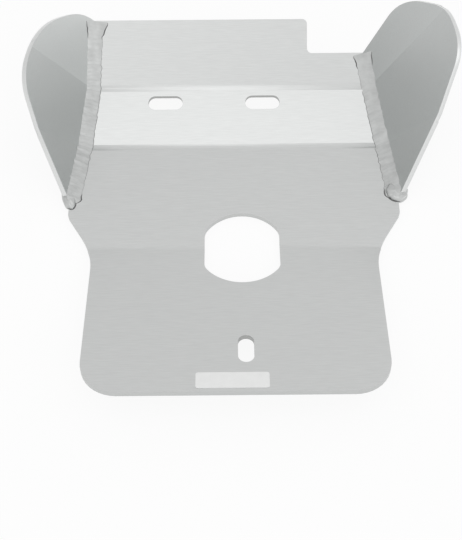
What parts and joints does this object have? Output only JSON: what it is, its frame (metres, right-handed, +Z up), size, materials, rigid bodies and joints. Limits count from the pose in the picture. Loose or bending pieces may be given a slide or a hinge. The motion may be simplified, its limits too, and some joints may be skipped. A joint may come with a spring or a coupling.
{
  "type": "motorcycle engine skid plate",
  "caption": "Folded aluminium sheet that guards the underside of a motorcycle engine, with a flared wing welded along each side, a drain hole and bolt slots.",
  "frame": {"origin": "middle of the floor panel's underside, the flat stretch between the rear and the middle fold", "axes": "+X to the rider's right, +Y to the front of the motorcycle, +Z up, square to the floor panel"},
  "size_m": [0.2481, 0.2425, 0.0762],
  "materials": {
    "plate_sheet": "satin, with a fine brushed grain",
    "wing_sheet": "satin, with a fine brushed grain",
    "weld_bead": "as welded, rippled",
    "label": "plain matt film with nothing printed on it"
  },
  "bodies": {
    "root": {"main_plate": "plate_sheet", "left_wing": "wing_sheet", "right_wing": "wing_sheet", "left_weld": "weld_bead", "right_weld": "weld_bead"}
  },
  "joints": []
}
